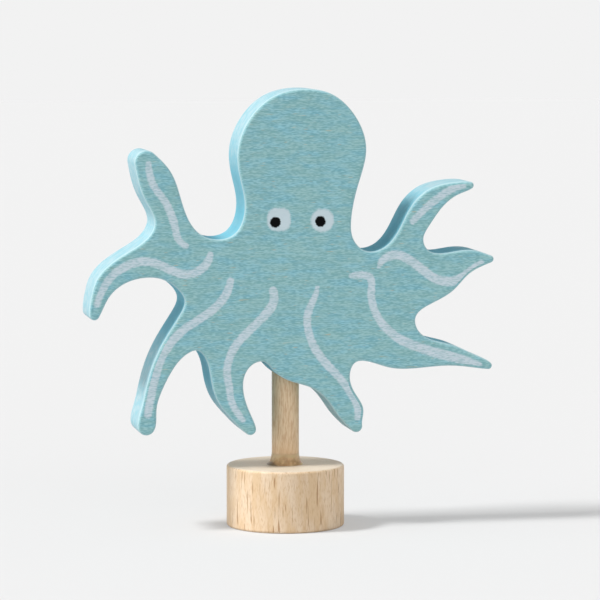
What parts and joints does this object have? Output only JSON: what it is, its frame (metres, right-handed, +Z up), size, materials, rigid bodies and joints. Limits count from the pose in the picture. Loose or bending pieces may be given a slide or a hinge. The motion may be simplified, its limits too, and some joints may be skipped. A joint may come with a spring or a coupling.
{
  "type": "octopus figurine",
  "caption": "Flat wooden octopus with curling arms, painted on its front and back, held up by a round peg in a turned disc base.",
  "frame": {"origin": "centre of the base's underside, on the peg's axis", "axes": "+Z up along the peg's axis, -Y out of the octopus's front face, +X to the right as one looks at that face"},
  "size_m": [0.09, 0.026, 0.0965],
  "materials": {
    "base_wood": "sanded beech, unvarnished",
    "peg_wood": "plain hardwood dowel",
    "wax": "amber wax, satin",
    "glazed_wood": "thin turquoise glaze over wood",
    "stroke_paint": "dry-brushed, matt",
    "eye_white_paint": "matt",
    "pupil_paint": "satin"
  },
  "bodies": {
    "stand": {"base": "base_wood", "wax_bead": "wax"},
    "peg": {"peg": "peg_wood"},
    "figure": {"octopus_plate": "glazed_wood", "stroke_front_1": "stroke_paint", "stroke_front_2": "stroke_paint", "stroke_front_3": "stroke_paint", "stroke_front_4": "stroke_paint", "stroke_front_5": "stroke_paint", "stroke_front_6": "stroke_paint", "stroke_front_7": "stroke_paint", "stroke_front_8": "stroke_paint", "stroke_back_1": "stroke_paint", "stroke_back_2": "stroke_paint", "stroke_back_3": "stroke_paint", "stroke_back_4": "stroke_paint", "stroke_back_5": "stroke_paint", "stroke_back_6": "stroke_paint", "stroke_back_7": "stroke_paint", "stroke_back_8": "stroke_paint", "eye_white_front_1": "eye_white_paint", "eye_white_front_2": "eye_white_paint", "eye_white_back_1": "eye_white_paint", "eye_white_back_2": "eye_white_paint", "pupil_front_1": "pupil_paint", "pupil_front_2": "pupil_paint", "pupil_back_1": "pupil_paint", "pupil_back_2": "pupil_paint"}
  },
  "joints": [
    {"name": "peg_lift", "type": "slide", "parent": "stand", "child": "peg", "axis": [0, 0, 1], "range_m": [0, 0.012]},
    {"name": "figure_turn", "type": "hinge", "parent": "peg", "child": "figure", "pos_m": [0, 0, 0.0136], "axis": [0, 0, 1], "continuous": true}
  ]
}
